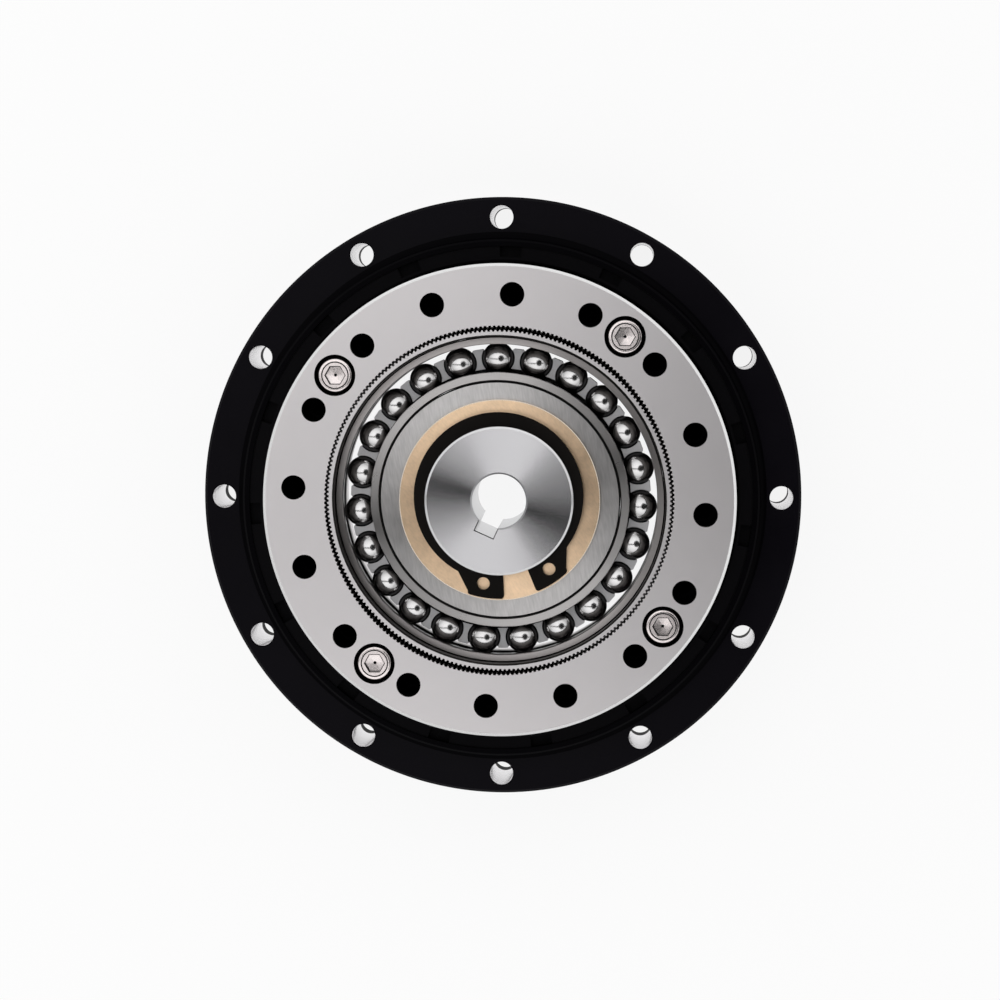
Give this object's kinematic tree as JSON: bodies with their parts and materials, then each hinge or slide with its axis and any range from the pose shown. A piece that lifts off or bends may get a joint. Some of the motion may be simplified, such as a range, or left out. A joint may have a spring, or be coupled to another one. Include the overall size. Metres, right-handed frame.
{
  "type": "strain wave gear",
  "caption": "Strain wave gear with a flanged crossed-roller output bearing, internal-toothed output ring, thin toothed cup and an elliptical ball-bearing wave generator with keyed hub.",
  "frame": {"origin": "centre of the rear mounting face, on the gear axis", "axes": "+Z along the gear axis from the rear mounting face to the output face; +X and +Y point at mounting holes of the flange"},
  "size_m": [0.09, 0.09, 0.025],
  "materials": {
    "flexspline_steel": "fine ground alloy steel",
    "ring_black": "black oxide, satin",
    "plug_steel": "ground face with straight grain",
    "spline_steel": "fine ground, light grey",
    "race_steel": "ground bearing steel",
    "ball_steel": "polished bearing steel",
    "cage_plastic": "moulded grey nylon",
    "washer_bronze": "satin bronze",
    "snap_black": "black phosphate spring steel",
    "hub_steel": "face-turned, bright",
    "oldham_steel": "ground",
    "seal_rubber": "matt black",
    "screw_steel": "nickel-plated, bright",
    "rear_screw_steel": "black oxide",
    "roller_steel": "polished bearing steel",
    "spacer_plastic": "moulded nylon"
  },
  "bodies": {
    "housing": {"flexspline": "flexspline_steel", "bearing_outer_ring": "ring_black", "filling_plug": "ring_black", "filling_plug_pin": "race_steel", "flange_oring": "seal_rubber", "rear_screws": "rear_screw_steel", "seal_ring": "seal_rubber", "wave_outer_race": "race_steel"},
    "output": {"circular_spline": "spline_steel", "bearing_inner_ring": "race_steel", "spline_screws": "screw_steel"},
    "roller_train": {"crossed_rollers": "roller_steel", "roller_spacers": "spacer_plastic"},
    "wave_generator": {"wave_plug": "plug_steel", "wave_inner_race": "race_steel"},
    "ball_train": {"wave_balls": "ball_steel", "ball_cage": "cage_plastic"},
    "coupling": {"oldham_disc": "oldham_steel"},
    "hub": {"input_hub": "hub_steel", "rub_washer": "washer_bronze", "snap_ring": "snap_black"}
  },
  "joints": [
    {"name": "wave_spin", "type": "hinge", "parent": "housing", "child": "wave_generator", "pos_m": [0, 0, 0.0188], "axis": [0, 0, 1], "continuous": true, "deforming": ["flexspline"]},
    {"name": "output_spin", "type": "hinge", "parent": "housing", "child": "output", "pos_m": [0, 0, 0.0097], "axis": [0, 0, 1], "continuous": true},
    {"name": "roller_spin", "type": "hinge", "parent": "housing", "child": "roller_train", "pos_m": [0, 0, 0.0097], "axis": [0, 0, 1], "continuous": true},
    {"name": "ball_spin", "type": "hinge", "parent": "housing", "child": "ball_train", "pos_m": [0, 0, 0.0188], "axis": [0, 0, 1], "continuous": true},
    {"name": "disc_slide", "type": "slide", "parent": "wave_generator", "child": "coupling", "axis": [0.4384, 0.8988, 0], "range_m": [-0.0003, 0.0003]},
    {"name": "hub_slide", "type": "slide", "parent": "coupling", "child": "hub", "axis": [0.8988, -0.4384, 0], "range_m": [-0.0003, 0.0003]}
  ],
  "couplings": [
    {"joint": "output_spin", "follows": "wave_spin", "ratio": 0.0082645},
    {"joint": "roller_spin", "follows": "wave_spin", "ratio": 0.003988},
    {"joint": "ball_spin", "follows": "wave_spin", "ratio": 0.4434}
  ]
}
